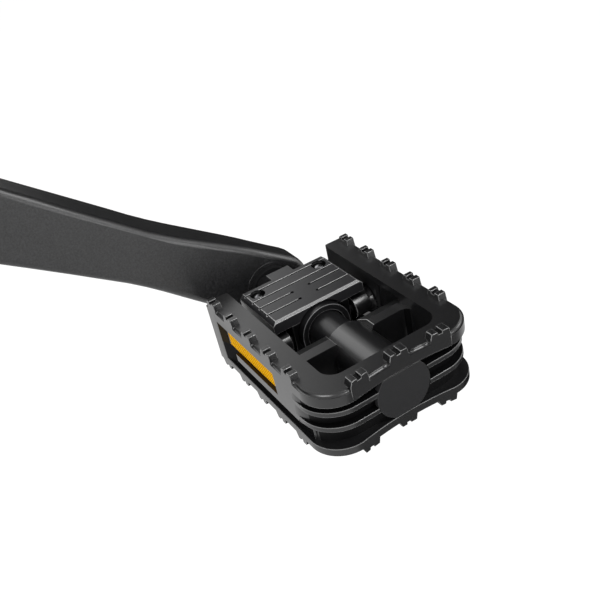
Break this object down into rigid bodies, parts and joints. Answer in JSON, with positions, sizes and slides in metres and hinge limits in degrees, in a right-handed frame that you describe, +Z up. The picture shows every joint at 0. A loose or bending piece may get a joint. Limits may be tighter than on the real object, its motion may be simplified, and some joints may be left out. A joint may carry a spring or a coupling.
{
  "type": "bicycle crank arm with folding pedal",
  "caption": "Forged crank arm with a toothed folding platform pedal: the cage swings up on a cross pin, and the pedal turns on its axle.",
  "frame": {"origin": "on the spindle's axis, at the mouth of the square socket in the back of the boss", "axes": "+Y inboard along the spindle's axis, -Y outward along the pedal axle, +X forward, +Z up with the pedal level"},
  "size_m": [0.1922, 0.1357, 0.1372],
  "materials": {
    "arm_finish": "matte, fine sand grain",
    "steel": "turned",
    "axle_steel": "blackened, turned",
    "block": "satin",
    "plate": "satin",
    "collar": "black anodised, turned",
    "cage": "satin",
    "cap": "satin",
    "lens": "prism moulded"
  },
  "bodies": {
    "crank": {"crank_arm": "arm_finish", "axle": "axle_steel"},
    "block": {"hinge_block": "block", "top_plate": "plate", "bottom_plate": "plate", "plate_screws": "steel", "lock_collar": "collar", "hinge_pin": "axle_steel"},
    "cage": {"cage": "cage", "end_cap": "cap", "reflector_front": "lens", "reflector_rear": "lens"}
  },
  "joints": [
    {"name": "pedal_spin", "type": "hinge", "parent": "crank", "child": "block", "pos_m": [0.13823, -0.0485, -0.09896], "axis": [0, -1, 0], "continuous": true},
    {"name": "pedal_fold", "type": "hinge", "parent": "block", "child": "cage", "pos_m": [0.13823, -0.0785, -0.09896], "axis": [-1, 0, 0], "range_deg": [0, 90]}
  ]
}
